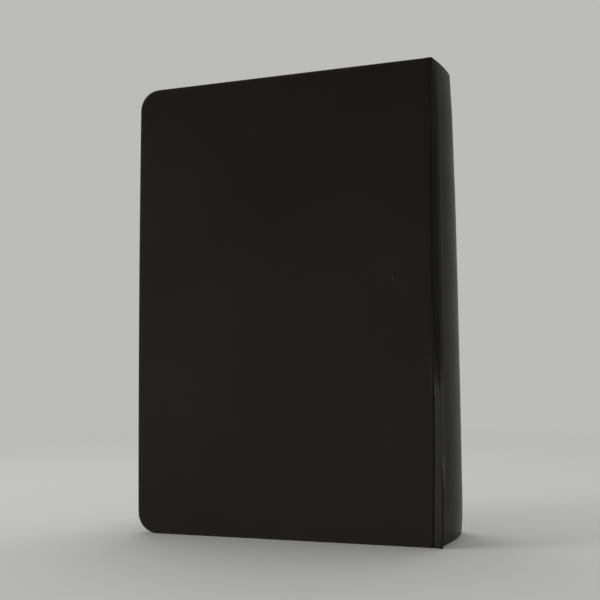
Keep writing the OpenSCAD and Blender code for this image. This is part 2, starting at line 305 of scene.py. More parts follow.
def edge_steps(radius, reach):
    """Distances in from an edge: even steps of angle round its radius, then growing up to reach."""
    angle = np.linspace(0, np.pi / 2, 7)
    return np.concatenate([radius * (1 - np.cos(angle)), np.geomspace(1.35 * radius, reach, 9)])


def grid_lines(length, steps_in, steps_out, count):
    """Places along a length: the first edge's steps, count even ones, and the last edge's steps."""
    middle = np.linspace(steps_in[-1], length - steps_out[-1], count)[1:-1]
    return np.concatenate([steps_in, middle, (length - steps_out)[::-1]])


def cover_face(inset, columns, rows):
    """Points over a cover's outline, set in from its fore edge, head and foot.

    columns and rows are distances from the inset fore edge and foot. In the square of a rounded corner
    a point at p and q radii from the corner's centre moves to max(p, q) radii, at an angle that grows
    with the smaller of the two, so that square rows become round ones. Returns x, z, the distance to
    the outline and the angle round the corner.
    """
    radius = CORNER_R - inset
    height = HEIGHT - 2 * inset
    f, g = np.meshgrid(columns, rows)
    p = np.clip(1 - f / radius, 0, 1)
    low = np.clip(1 - g / radius, 0, 1)
    high = np.clip(1 - (height - g) / radius, 0, 1)
    q = np.maximum(low, high)
    m = np.maximum(p, q)
    share = np.minimum(p, q) / np.maximum(m, 1e-9)
    angle = np.where(p >= q, np.pi / 4 * share, np.pi / 2 - np.pi / 4 * share)
    x = np.where(p > 0, radius * (1 - m * np.cos(angle)), f)
    rise = radius * (1 - m * np.sin(angle))
    z = np.where(low > 0, rise, np.where(high > 0, height - rise, g))
    d = np.where(m > 0, radius * (1 - m), np.minimum(f, np.minimum(g, height - g)))
    return FORE_X + inset + x, inset + z, d, np.where((p > 0) & (q > 0), angle, 0)


def cover_bow(x, z):
    """How far a cover bows outwards: most half way up its fore edge, and not at its hinge."""
    up = 1 - (2 * z / HEIGHT - 1) ** 2
    return COVER_BOW * up * ease((HINGE_X - x) / (HINGE_X - FORE_X))


def on_cover(side, x, depth, z):
    """Points of a cover, from the depth below its outer face."""
    y = SIDES[side] * (HALF_T - depth + cover_bow(x, z))
    return np.stack([x, y, z], -1)


def shell(outer, inner, keep=None):
    """A closed wall between two like grids of points.

    Returns its points, its quads and the numbers of the grids' points that it uses. Each kept cell has
    a quad in both grids. Where a kept cell ends, at the border or round a hole, a quad joins the grids.
    The faces are turned so that the volume they enclose is positive.
    """
    rows, columns = outer.shape[:2]
    under = rows * columns
    index = np.arange(under).reshape(rows, columns)
    if keep is None:
        keep = np.ones((rows - 1, columns - 1), bool)
    cells = np.stack([index[:-1, :-1], index[:-1, 1:], index[1:, 1:], index[1:, :-1]], -1)[keep]
    faces = [cells, cells[:, ::-1] + under]
    kept = np.pad(keep, 1).astype(int)
    for change, a, b in (
        (np.diff(kept[1:-1], axis=1), index[:-1], index[1:]),
        (-np.diff(kept[:, 1:-1], axis=0), index[:, :-1], index[:, 1:]),
    ):
        for edge, start, stop in ((change > 0, a, b), (change < 0, b, a)):
            pair = np.stack([start[edge], stop[edge]], -1)
            faces.append(np.concatenate([pair, pair[:, ::-1] + under], -1))
    points = np.concatenate([outer.reshape(-1, 3), inner.reshape(-1, 3)])
    faces = np.concatenate(faces)
    a, b, c, d = (points[faces[:, i]] for i in range(4))
    if np.sum(np.cross(a, b) * c + np.cross(a, c) * d) < 0:
        faces = faces[:, ::-1]
    used, faces = np.unique(faces, return_inverse=True)
    return points[used], faces.reshape(-1, 4), used


def piece(name, points, faces, material, body, nodes, crisp=None, values=None):
    """Makes a mesh piece from millimetre points, in place of CAD nodes, fixed to a body if one is named.

    crisp is the angle above which an edge stays sharp. values are named numbers for each point.
    """
    mesh = bpy.data.meshes.new(name)
    mesh.from_pydata(points * MM, [], [list(face) for face in faces])
    mesh.polygons.foreach_set("use_smooth", np.ones(len(faces), bool))
    if crisp:
        mesh.set_sharp_from_angle(angle=math.radians(crisp))
    for label, numbers in (values or {}).items():
        mesh.attributes.new(label, "FLOAT", "POINT").data.foreach_set("value", numbers.astype(np.float32))
    mesh.materials.append(material)
    made = bpy.data.objects.new(name, mesh)
    scene.collection.objects.link(made)
    if body:
        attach(made, body)
    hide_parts(*nodes)
    return made


def leatherette(name, tone, floor_lit_tone, grain, roughness):
    """Black coated cloth: a fine pebble grain, a cloudy tone, and painted floor light that pales it from the
    head down.

    The edges are rubbed by the points' own rub value, and a few cells of a coarse pattern hold a speck
    of lint.
    """
    material, tree, shader, place = new_material(name)
    pebbles = add_node(
        tree, "ShaderNodeTexVoronoi",
        {"Vector": place, "Scale": PEBBLES_PER_M, "Smoothness": 0.7}, feature="SMOOTH_F1",
    )
    folds = rough_value(tree, place, 520, 0, 1, 5)
    height = calc(tree, "MULTIPLY_ADD", pebbles.outputs["Distance"], folds, 0.2)
    raise_bumps(tree, shader, height, grain)
    # Painted light: the tone pales from the head towards the foot, as if lit by the floor, on top of random
    # clouds of tone.
    height_up = add_node(tree, "ShaderNodeSeparateXYZ", {0: place}).outputs["Z"]
    towards_foot = add_node(
        tree, "ShaderNodeMapRange",
        {"Value": height_up, "From Min": HEIGHT * MM, "From Max": FLOOR_LIT_BELOW * MM, "To Max": 0.72},
    )
    floor_light_and_clouds = calc(tree, "ADD", towards_foot.outputs["Result"], rough_value(tree, place, 14, 0, 0.3, 4))
    cloth = tint(tree, floor_light_and_clouds, tone, floor_lit_tone)
    rub = add_node(tree, "ShaderNodeAttribute", attribute_name="rub")
    patches = rough_value(tree, place, 190, 0, 1, 4)
    cloth = tint(tree, calc(tree, "MULTIPLY", rub.outputs["Fac"], patches), cloth, LEATHER_RUB)
    lint = add_node(tree, "ShaderNodeTexVoronoi", {"Vector": place, "Scale": 42.0})
    speck = add_node(
        tree, "ShaderNodeMapRange",
        {
            "Value": lint.outputs["Distance"],
            "From Min": 0.006, "From Max": 0.012, "To Min": 1.0, "To Max": 0.0,
        },
    )
    chosen = add_node(tree, "ShaderNodeSeparateColor", {0: lint.outputs["Color"]})
    few = calc(tree, "GREATER_THAN", chosen.outputs[0], LINT_FREE_SHARE)
    specks = calc(tree, "MULTIPLY", speck.outputs["Result"], few)
    tree.links.new(tint(tree, specks, cloth, LINT), shader.inputs["Base Color"])
    low, high = roughness
    tree.links.new(rough_value(tree, place, 34, low, high, 4), shader.inputs["Roughness"])
    shader.inputs["Specular IOR Level"].default_value = LEATHER_SPECULAR
    return material


case_leather = leatherette(
    "case_leatherette", LEATHER_TONE, LEATHER_TONE_FLOOR_LIT, LEATHER_GRAIN, LEATHER_ROUGHNESS
)
cover_columns = grid_lines(
    HINGE_X - FORE_X, edge_steps(EDGE_R, CORNER_R), edge_steps(HINGE_EDGE_R, 6.0), 44
)
cover_rows = grid_lines(HEIGHT, edge_steps(EDGE_R, CORNER_R), edge_steps(EDGE_R, CORNER_R), 96)


def cover_leatherette(side):
    """The wrapped cover: rounded outside, pleated in its turn-in, and dipping to the joint at its hinge.

    Slow sines across it and up it make its face wave a little. The pleats are the absolute value of a
    sine of the angle round a fore corner, faded out at the edge and further in.
    """
    x, z, d, angle = cover_face(0, cover_columns, cover_rows)
    from_hinge = HINGE_X - x
    outer_x = x + joint_shift(z) * np.clip(1 - from_hinge / STRAY_REACH, 0, 1)
    fold = creased(side, z)
    dip = JOINT_DIP * ease(1 - from_hinge / JOINT_DIP_W)
    sink = (1 - fold) * dip + fold * edge_drop(from_hinge, CREASE_R)
    waves = WAVE_H * np.sin(x / 17 + 1.3 * np.sin(z / 31)) * np.sin(z / 23 + 0.7)
    outer = edge_drop(d, EDGE_R) + sink + waves * ease(d / 6)
    pleats = PLEAT_H * np.abs(np.sin(PLEATS * angle)) * ease(d / 1.5) * ease((7 - d) / 4)
    inner = WALL - edge_drop(d, INNER_EDGE_R) + pleats
    points, faces, used = shell(on_cover(side, outer_x, outer, z), on_cover(side, x, inner, z))
    rub_at_crease = 3 * fold * (1 - fold) * np.exp(-from_hinge / CREASE_RUB_W)
    rub = np.maximum(np.exp(-d / RUB_W), rub_at_crease).ravel()
    piece(
        f"{side}_cover_leatherette", points, faces, case_leather, f"{side}_cover",
        [f"{side}_wrap"], values={"rub": np.tile(rub, 2)[used]},
    )


def cover_board(side):
    """The board in a cover, cut short of the joint, with its hinge edge sanded round."""
    inset = BOARD_SKIN
    hinge_x = HINGE_X - BOARD_GAP
    edge = edge_steps(BOARD_EDGE_R, CORNER_R - inset)
    columns = grid_lines(hinge_x - FORE_X - inset, edge, edge_steps(BOARD_HINGE_R, 6.0), 12)
    rows = grid_lines(HEIGHT - 2 * inset, edge, edge, 20)
    x, z, d, _ = cover_face(inset, columns, rows)
    rounding = edge_drop(d, BOARD_EDGE_R)
    face = on_cover(side, x, inset + BOARD_GLUE + rounding + edge_drop(hinge_x - x, BOARD_HINGE_R), z)
    back = on_cover(side, x, WALL - inset - BOARD_GLUE - rounding, z)
    points, faces, _ = shell(face, back)
    piece(
        f"{side}_pulp_board", points, faces, pulp_board, f"{side}_cover", [f"{side}_board"]
    )


for side in SIDES:
    cover_leatherette(side)
    cover_board(side)


# Spine: a curved board of grey pulp under the same sheet of leatherette, which is turned in at head and
# foot. Along both shoulders no board backs the leatherette, and it sinks towards the joints.
spine_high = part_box("spine_wrap")[1]
SPINE_HALF = spine_high.y / MM
CREST_X = spine_high.x / MM
SHOULDER_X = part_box("front_joint_strip")[1].x / MM
SPINE_BULGE = CREST_X - SHOULDER_X
SPINE_R = (SPINE_HALF**2 + SPINE_BULGE**2) / (2 * SPINE_BULGE)
SPINE_CX = CREST_X - SPINE_R
SPINE_EDGE_R = 0.35
# The board's gap to each shoulder, its rounded long edges, and the glue over and under it.
SPINE_BOARD_GAP = 1.2
SPINE_BOARD_EDGE_R = 0.8
GLUE_OVER, GLUE_UNDER = 0.45, 0.1
# By height: how far the leatherette stands off the spine's true arc at its front shoulder, how far its
# middle rises, how far its back half leans out, and how far its back shoulder falls away again.
BARREL_Z = (0, 15, 33, 63, 95, 125, 150, 190, 226, 255)
BARREL = (-1.1, 0.0, 0.9, 1.8, 1.45, 0.4, -0.2, -0.1, 0.1, 0.0)
RISE_Z = (0, 25, 50, 110, 200, 255, 280)
RISE = (-0.1, 1.25, 1.3, 1.15, 1.4, 1.45, 0.65)
LEAN_Z = (0, 15, 33, 63, 95, 125, 150, 190, 226)
LEAN = (2.2, 1.9, 1.2, 0.35, 0.75, 1.7, 2.2, 1.8, 1.25)
FALL_Z = (205, 240, 262, 280)
FALL = (0.35, 0.75, 1.5, 2.7)
# By height: how soft the shoulders are worn. The hollow there is this deep, and reaches this far.
HOLLOW_Z = (30, 60, 100, 127, 142, 200, 255, 280)
HOLLOW = (-0.1, -0.25, 0.0, 0.6, 1.0, 0.9, 0.7, 0.0)
HOLLOW_DEPTH = 0.42
HOLLOW_REACH = 3.6
HOLLOW_LIP, HOLLOW_LIP_W = 0.1, 1.4


def spine_swell(y, z):
    """How far the leatherette stands off the spine's true arc at y and z: each by height, summed.

    The barrel is even across the spine, the rise a parabola over its middle, and the lean and the fall
    are smooth steps towards its back shoulder.
    """
    across = y / SPINE_HALF
    rise = np.interp(z, RISE_Z, RISE) * (1 - across**2)
    lean = np.interp(z, LEAN_Z, LEAN) * ease((1 + across) / 2)
    fall = np.interp(z, FALL_Z, FALL) * ease(1.2 * across - 0.2)
    return np.interp(z, BARREL_Z, BARREL) + rise + lean - fall


def softness(side, z):
    """How far a joint's shoulder is worn soft at height z."""
    return CREASE_SHARE[side] * np.interp(z, HOLLOW_Z, HOLLOW)


def shoulder_hollow(side, from_shoulder, z):
    """How far the spine sinks beside a joint, where no board backs it, and rises at the board's edge."""
    sunk = HOLLOW_DEPTH * np.clip(1 - from_shoulder / HOLLOW_REACH, 0, 1) ** 2
    lip = HOLLOW_LIP * np.exp(-(((from_shoulder - HOLLOW_REACH - 1) / HOLLOW_LIP_W) ** 2))
    return softness(side, z) * (sunk - lip)


def on_spine(y, depth, z):
    """Points of the spine, from the depth below its curved outer face."""
    x = SPINE_CX + np.sqrt((SPINE_R - depth) ** 2 - y**2)
    return np.stack([x, y, z], -1)


def spine_leatherette():
    """A shallow arc between the shoulders, swelled by height, hollow beside them and rounded at its ends."""
    across = grid_lines(2 * SPINE_HALF, edge_steps(HINGE_EDGE_R, 5.0), edge_steps(HINGE_EDGE_R, 5.0), 26)
    along = grid_lines(HEIGHT, edge_steps(SPINE_EDGE_R, 8.0), edge_steps(SPINE_EDGE_R, 8.0), 96)
    s, z = np.meshgrid(across, along)
    y = s - SPINE_HALF
    from_end = np.minimum(z, HEIGHT - z)
    hollow = np.where(y < 0, shoulder_hollow("front", s, z), shoulder_hollow("back", s[:, ::-1], z))
    waves = WAVE_H * np.sin(z / 19 + 1.1 * np.sin(y / 13)) * np.sin(y / 9 + 0.4)
    sink = JOINT_DIP + hollow + waves * ease(from_end / 6)
    outer = edge_drop(from_end, SPINE_EDGE_R) + sink - spine_swell(y, z)
    inner = WALL - edge_drop(from_end, INNER_EDGE_R)
    points, faces, used = shell(on_spine(y, outer, z), on_spine(y, inner, z))
    rub = np.exp(-from_end / RUB_W).ravel()
    piece(
        "spine_leatherette", points, faces, case_leather, "spine",
        ["spine_wrap"], values={"rub": np.tile(rub, 2)[used]},
    )


def spine_board():
    """The curved board in the spine, its long edges sanded round. It sinks where the leatherette does."""
    inset = BOARD_SKIN
    half = SPINE_HALF - SPINE_BOARD_GAP
    side_steps = edge_steps(SPINE_BOARD_EDGE_R, 4.0)
    end_steps = edge_steps(BOARD_EDGE_R, 6.0)
    s, z = np.meshgrid(
        grid_lines(2 * half, side_steps, side_steps, 12),
        inset + grid_lines(HEIGHT - 2 * inset, end_steps, end_steps, 40),
    )
    y = s - half
    rounding = edge_drop(np.minimum(s, s[:, ::-1]), SPINE_BOARD_EDGE_R)
    rounding = rounding + edge_drop(np.minimum(z, HEIGHT - z) - inset, BOARD_EDGE_R)
    face = on_spine(y, inset + GLUE_OVER + rounding - np.minimum(spine_swell(y, z), 0), z)
    points, faces, _ = shell(face, on_spine(y, WALL - inset - GLUE_UNDER, z))
    piece("spine_pulp_board", points, faces, pulp_board, "spine", ["spine_board"])


spine_leatherette()
spine_board()


# Joints: the leatherette between board and spine has no board behind it, only a strip of cloth. It lies
# hollow and smooth in the upper half, and is broken into a roll between two creases in the lower half.
JOINT_W = SHOULDER_X - HINGE_X
STRIP_END = 0.05
STRIP_EDGE_R = 0.2
STRIP_T = 0.5
LINING_T = 0.35
LAYER_GAP = 0.02
PROFILE_STEPS = 60
# Across the joint, from under the cover's edge to under the spine's: the distance past the hinge line
# and the depth below the cover's outer face. Three smooth profiles, from half way up to the head.
SOFT_JOINT = [
    (-0.65, 0.4), (0.07, 0.12), (0.62, 0.18), (1.2, 0.36), (1.69, 0.66), (2.09, 1.02), (2.41, 1.42),
    (2.7, 1.86), (2.98, 2.32), (3.27, 2.8), (3.57, 3.27), (3.87, 3.76), (4.35, 4.5), (4.4, 5.3),
]
UPPER_JOINT = [
    (-0.7, 0.4), (0.05, 0.1), (0.7, 0.1), (1.3, 0.11), (1.75, 0.14), (2.12, 0.22), (2.4, 0.42),
    (2.62, 0.8), (2.87, 1.3), (3.18, 1.95), (3.48, 2.6), (3.83, 3.35), (4.35, 4.5), (4.4, 5.3),
]
HEAD_JOINT = [
    (-0.7, 0.4), (0.05, 0.1), (0.9, 0.1), (2.0, 0.13), (2.9, 0.21), (3.5, 0.42), (3.78, 0.8),
    (3.9, 1.3), (4.0, 2.0), (4.1, 2.7), (4.2, 3.4), (4.28, 4.0), (4.35, 4.5), (4.35, 5.3),
]
JOINT_LEVEL_Z = (190, 240, 262, 280)
JOINT_LEVEL = (0, 1, 1, 2)
# Two profiles of the roll: ridged where the crease starts, and rounder near the foot.
RIDGED_ROLL = [
    (-0.5, 0.74), (0.0, 0.66), (0.22, 0.6), (0.55, 0.38), (1.1, 0.04), (1.8, -0.35), (2.45, -0.7),
    (3.05, -1.05), (3.5, -1.33), (3.78, -1.51), (3.84, -1.48), (3.88, -1.2), (4.02, 0.2), (4.38, 4.0),
    (4.4, 5.3),
]
FOOT_ROLL = [
    (-0.5, 0.74), (0.0, 0.66), (0.16, 0.58), (0.5, 0.34), (1.2, -0.02), (2.3, -0.58), (3.4, -1.14),
    (4.3, -1.6), (4.72, -1.72), (5.1, -1.6), (5.4, -1.27), (5.58, -0.75), (5.5, 0.4), (4.5, 3.6),
    (4.4, 5.3),
]
ROUNDED_BELOW, RIDGED_ABOVE = 25, 55
ROLL_LIFT, STRAY_LIFT = 1.12, 1.3
# Just over the foot the roll is pressed in by a share, and follows only half of the spine's own curve.
FOOT_PRESS, FOOT_PRESS_H = 0.2, 8
FOOT_STRAIGHTEN = 0.5
# The crease starts at a wavering height.
WAVER_H, WAVER_PITCH = 1.5, 5.0


def smooth_curve(knots, count):
    """A curve through the knots: cubic pieces whose slope at a knot is that between its neighbours."""
    p = np.asarray(knots, float)
    slope = np.gradient(p, axis=0)
    t = np.linspace(0, len(p) - 1, count)
    i = np.minimum(t.astype(int), len(p) - 2)
    u = (t - i)[:, None]
    return (
        (2 * u**3 - 3 * u**2 + 1) * p[i]
        + (u**3 - 2 * u**2 + u) * slope[i]
        + (3 * u**2 - 2 * u**3) * p[i + 1]
        + (u**3 - u**2) * slope[i + 1]
    )


def to_left(curve):
    """Unit normals on the left of a flat curve, or of each curve in a stack."""
    along = np.gradient(curve, axis=-2)
    across = np.stack([-along[..., 1], along[..., 0]], -1)
    return across / np.linalg.norm(across, axis=-1, keepdims=True)


def joint_layer(side, name, from_depth, to_depth, material, node):
    """A layer of a joint: profiles mixed by height, set in by its depths along their normals.

    The smooth profile changes from level to level up to the head. Where the joint is creased, a roll
    takes its place. The outer face follows the roll. The faces under it follow a line half way to the
    smooth profile, because a sharp ridge leaves no room inside.
    """
    end_steps = edge_steps(0.25, 3.0)
    rows = grid_lines(HEIGHT - 2 * STRIP_END, end_steps, end_steps, 120) + STRIP_END
    pressed = 1 - FOOT_PRESS * ease(1 - rows / FOOT_PRESS_H)
    fold = (pressed * creased(side, rows + WAVER_H * np.sin(rows / WAVER_PITCH)))[:, None, None]
    soft = softness(side, rows)[:, None]
    profiles = (SOFT_JOINT, UPPER_JOINT, HEAD_JOINT)
    levels = np.stack([smooth_curve(knots, PROFILE_STEPS) for knots in profiles])
    level = np.interp(rows, JOINT_LEVEL_Z, JOINT_LEVEL)
    lower = np.minimum(level.astype(int), len(levels) - 2)
    part = (level - lower)[:, None, None]
    smooth = (1 - part) * levels[lower] + part * levels[lower + 1]
    ridge = ease((rows - ROUNDED_BELOW) / (RIDGED_ABOVE - ROUNDED_BELOW))[:, None, None]
    rounded, ridged = smooth_curve(FOOT_ROLL, PROFILE_STEPS), smooth_curve(RIDGED_ROLL, PROFILE_STEPS)
    rolled = (1 - fold) * smooth + fold * ((1 - ridge) * rounded + ridge * ridged)
    backing = (smooth + rolled) / 2
    from_end = np.minimum(rows - STRIP_END, HEIGHT - STRIP_END - rows)
    rounding = edge_drop(from_end, STRIP_EDGE_R)[:, None, None]

    def lay(line, depth):
        """A line set in by depth, strayed with the cover, lifted off its face and swelled with the spine."""
        past, below = np.moveaxis(line + to_left(line) * depth, -1, 0)
        z = np.broadcast_to(rows[:, None], past.shape)
        down = np.clip(below / JOINT_W, 0, 1)
        share = np.clip(np.maximum(past / JOINT_W, down), 0, 1)
        stray = joint_shift(z)
        lift = (ROLL_LIFT - STRAY_LIFT * stray / JOINT_W) * np.clip(-below, 0, None)
        past = past - soft * HOLLOW_DEPTH * down
        to_straight = FOOT_STRAIGHTEN * fold[..., 0] * (1 - down) * np.clip(ROUNDED_BELOW - z, 0, None)
        swell = share**2 * spine_swell(SIDES[side] * SPINE_HALF, z + to_straight)
        x = HINGE_X + past + (1 - share) * stray + swell
        return np.stack([x, SIDES[side] * (HALF_T - np.maximum(below, 0) + lift), z], -1)

    face = lay(backing if from_depth else rolled, from_depth + rounding)
    points, faces, _ = shell(face, lay(backing, to_depth - rounding))
    made = piece(name, points, faces, material, None, [node])
    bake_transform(made)


LINING_TONE, LINING_TONE_PALE = (0.0105, 0.0102, 0.0098), (0.0135, 0.013, 0.0125)
# Painted shade: the grooves between the embossed threads are darkened to this tone.
LINING_GROOVE_SHADE = (0.008, 0.0077, 0.0074)
LINING_EMBOSS = 0.05


def lining_paper(name, across_axis):
    """Black paper with a fine linen emboss: raised threads along Z and along one other axis, and painted
    shade in the grooves between them.
    """
    material, tree, shader, place = new_material(name)
    threads = [
        add_node(
            tree, "ShaderNodeTexWave",
            {"Vector": place, "Scale": 330.0, "Distortion": 1.6, "Detail": 2.0, "Detail Scale": 0.6},
            bands_direction=axis,
        ).outputs["Fac"]
        for axis in (across_axis, "Z")
    ]
    weave = calc(tree, "MAXIMUM", *threads)
    raise_bumps(tree, shader, weave, LINING_EMBOSS)
    tone = tint(tree, rough_value(tree, place, 22, 0, 1, 4), LINING_TONE, LINING_TONE_PALE)
    # Painted shade: where the weave is low, between the threads, the tone darkens.
    groove_shaded_tone = tint(tree, weave, LINING_GROOVE_SHADE, tone)
    tree.links.new(groove_shaded_tone, shader.inputs["Base Color"])
    tree.links.new(rough_value(tree, place, 60, 0.6, 0.75), shader.inputs["Roughness"])
    shader.inputs["Specular IOR Level"].default_value = 0.25
    return material


cover_lining = lining_paper("cover_lining_paper", "X")
spine_lining = lining_paper("spine_lining_paper", "Y")
for side in SIDES:
    joint_layer(
        side, f"{side}_joint_leatherette", 0, STRIP_T, case_leather, f"{side}_joint_strip"
    )
    joint_layer(
        side, f"{side}_joint_cloth", STRIP_T + LAYER_GAP, STRIP_T + LINING_T, spine_lining,
        f"{side}_joint_lining",
    )


# Inside sheets: embossed black paper pasted over the turned-in leatherette of each cover and of the
# spine. It sinks a little inside the turn-in, and is folded over the board's edge at the joints.
LINER_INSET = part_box("front_liner")[0].z / MM
LINER_DEPTH = HALF_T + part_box("front_liner")[1].y / MM
LINER_T = LINER_DEPTH - WALL
SHEET_EDGE_R = 0.25
PASTE_T = 0.04
# The turned-in leatherette is this wide. Inside it the sheet sinks by a step.
TURN_IN_W = 15
SHEET_SUNK, STEP_W = 0.28, 2.4
# Past the last column of the flat sheet: the fold over the edge, as distance past it and rise.
FOLD_OVER = np.array([(0.12, -0.03), (0.26, -0.12), (0.34, -0.3), (0.36, -0.6), (0.36, -1.4), (0.36, -2.2)])
FOLD_STEP, FOLD_UNDER = 0.02, 0.03


def sheet_rise(from_edge):
    """Height of a sheet's face over its paste: rounded at its cut edge, sunk inside the turn-in."""
    sunk = SHEET_SUNK * ease((from_edge + LINER_INSET - TURN_IN_W) / STEP_W + 0.5)
    return LINER_T - edge_drop(from_edge, SHEET_EDGE_R) - sunk


def cover_liner(side):
    """The inside sheet of a cover, with its fold over the hinge edge."""
    edge = edge_steps(SHEET_EDGE_R, CORNER_R - LINER_INSET)
    columns = grid_lines(HINGE_X - FORE_X - LINER_INSET, edge, edge_steps(SHEET_EDGE_R, 3.0), 40)
    rows = grid_lines(HEIGHT - 2 * LINER_INSET, edge, edge, 80)
    x, z, d, _ = cover_face(LINER_INSET, columns, rows)
    top = WALL + sheet_rise(d)
    past, rise = FOLD_OVER.T
    last_x, last_z, last_top = x[:, -1:], z[:, -1:], top[:, -1:]
    z = np.hstack([z, np.repeat(last_z, len(past), 1)])
    face = on_cover(side, np.hstack([x, last_x + past]), np.hstack([top, last_top + rise]), z)
    under_x = np.hstack([x, last_x + FOLD_STEP * np.arange(1, len(past) + 1)])
    under = WALL - PASTE_T + np.concatenate([np.zeros(x.shape[1]), rise])
    back = on_cover(side, under_x, under, z)
    points, faces, _ = shell(face, back)
    piece(
        f"{side}_inside_sheet", points, faces, cover_lining, f"{side}_cover", [f"{side}_liner"]
    )


def spine_liner():
    """The inside sheet of the spine, folded over both of its long edges."""
    past, rise = FOLD_OVER.T
    flat = np.linspace(-SPINE_HALF, SPINE_HALF, 40)
    y = np.concatenate([-SPINE_HALF - past[::-1], flat, SPINE_HALF + past])
    lift = np.concatenate([rise[::-1], 0 * flat, rise])
    end_steps = edge_steps(SHEET_EDGE_R, 12)
    along = grid_lines(HEIGHT - 2 * LINER_INSET, end_steps, end_steps, 80)
    from_end = np.minimum(along, along[::-1])
    y, z = np.meshgrid(y, along + LINER_INSET)
    top = WALL + lift + sheet_rise(from_end)[:, None]
    under_y = np.clip(y, -SPINE_HALF - FOLD_UNDER, SPINE_HALF + FOLD_UNDER)
    points, faces, _ = shell(on_spine(y, top, z), on_spine(under_y, WALL - PASTE_T + lift, z))
    piece("spine_inside_sheet", points, faces, spine_lining, "spine", ["spine_liner"])


for side in SIDES:
    cover_liner(side)
spine_liner()


# Pockets: a panel of thin, smooth leatherette over the lower half of each inside face. Its top edge is
# hemmed, and a welded strip holds its other three sides.
pocket_low, pocket_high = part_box("front_pocket")
POCKET_X = (pocket_low.x / MM, pocket_high.x / MM)
POCKET_Z = (pocket_low.z / MM, pocket_high.z / MM)
POCKET_DEPTH = HALF_T + pocket_low.y / MM
POCKET_T = (pocket_high.y - pocket_low.y) / MM
SEAM_W = 4
HEM_W = 9
POCKET_TONE = (0.0075, 0.0073, 0.007)
# The pocket's pale tone is the same painted floor light, paling it towards the foot.
POCKET_TONE_FLOOR_LIT = (0.0095, 0.0092, 0.0088)
POCKET_GRAIN = 0.02
POCKET_ROUGHNESS = (0.36, 0.48)
POCKET_EDGE_R = 0.3
POCKET_SWELL, POCKET_SWELL_W = 0.9, 45
HEM_H = 0.35
# Two pressed lines, along the seams and along the hem: distance in, half width and depth.
WELD_IN, WELD_W, WELD_DEPTH = 2.1, 0.4, 0.2
STITCH_IN, STITCH_W, STITCH_DEPTH = 1.8, 0.35, 0.12
# Across the welded strip: distance in from the panel's outline, and height over the sheet's paste.
SEAM_IN = np.array([-0.7, -0.62, -0.4, 0.3, 1.0, 1.9])
SEAM_RISE = np.array([0.12, 0.26, 0.34, 0.38, 0.45, 0.45])
SEAM_CORNER_R = 2.0
pocket_leather = leatherette(
    "pocket_leatherette", POCKET_TONE, POCKET_TONE_FLOOR_LIT, POCKET_GRAIN, POCKET_ROUGHNESS
)


def pressed_line(distance, half_width):
    """Share of a pressed line's depth at a distance from its middle: a bell curve."""
    return np.exp(-((distance / half_width) ** 2))


def pocket_panel(side):
    """A flat panel that swells a little towards its mouth, with a pressed weld line and a raised hem."""
    width, height = POCKET_X[1] - POCKET_X[0], POCKET_Z[1] - POCKET_Z[0]
    seam_steps = np.concatenate([edge_steps(POCKET_EDGE_R, 1.3), np.linspace(1.5, 2.9, 10), [3.4, 4.4, 6]])
    hem_steps = np.concatenate([edge_steps(0.4, 6.0), np.linspace(6.5, HEM_W + 1, 12)])
    across, up = np.meshgrid(
        grid_lines(width, seam_steps, seam_steps, 40), grid_lines(height, seam_steps, hem_steps, 40)
    )
    from_side = np.minimum(across, width - across)
    from_seam = np.minimum(from_side, up)
    from_top = height - up
    swell = POCKET_SWELL * ease(from_side / POCKET_SWELL_W) * ease((up - SEAM_W) / height)
    weld = WELD_DEPTH * pressed_line(from_seam - WELD_IN, WELD_W)
    stitch = STITCH_DEPTH * pressed_line(from_top - HEM_W + STITCH_IN, STITCH_W)
    hem = (HEM_H * ease((HEM_W - from_top) / 0.8) - stitch) * ease(from_side / 3)
    rounding = edge_drop(np.minimum(from_seam, from_top), POCKET_EDGE_R)
    x, z = POCKET_X[0] + across, POCKET_Z[0] + up
    face = on_cover(side, x, POCKET_DEPTH + POCKET_T + swell - weld + hem - rounding, z)
    back = on_cover(side, x, POCKET_DEPTH + swell - 0.6 * weld, z)
    points, faces, _ = shell(face, back)
    piece(
        f"{side}_pocket_panel", points, faces, pocket_leather, f"{side}_cover",
        [f"{side}_pocket"],
    )


def pocket_weld(side):
    """The welded strip along three sides of a pocket: a flat band carried round the U of its outline."""
    (left, right), (foot, top) = POCKET_X, POCKET_Z
    corner = SEAM_CORNER_R
    turn = np.linspace(0, np.pi / 2, 9)
    outline = np.concatenate([
        np.stack([np.full(30, left), np.linspace(top, foot + corner, 31)[:-1]], -1),
        np.stack([left + corner * (1 - np.cos(turn)), foot + corner * (1 - np.sin(turn))], -1),
        np.stack([np.linspace(left + corner, right - corner, 32)[1:-1], np.full(30, foot)], -1),
        np.stack([right - corner * (1 - np.sin(turn)), foot + corner * (1 - np.cos(turn))], -1),
        np.stack([np.full(30, right), np.linspace(foot + corner, top, 31)[1:]], -1),
    ])
    band = outline[:, None] + to_left(outline)[:, None] * SEAM_IN[:, None]
    x, z = band[..., 0], band[..., 1]
    face = on_cover(side, x, LINER_DEPTH - PASTE_T + SEAM_RISE, z)
    back = on_cover(side, x, LINER_DEPTH - PASTE_T - SHEET_SUNK, z)
    points, faces, _ = shell(face, back)
    piece(
        f"{side}_pocket_weld", points, faces, pocket_leather, f"{side}_cover",
        [f"{side}_pocket_seams"],
    )


for side in SIDES:
    pocket_panel(side)
    pocket_weld(side)


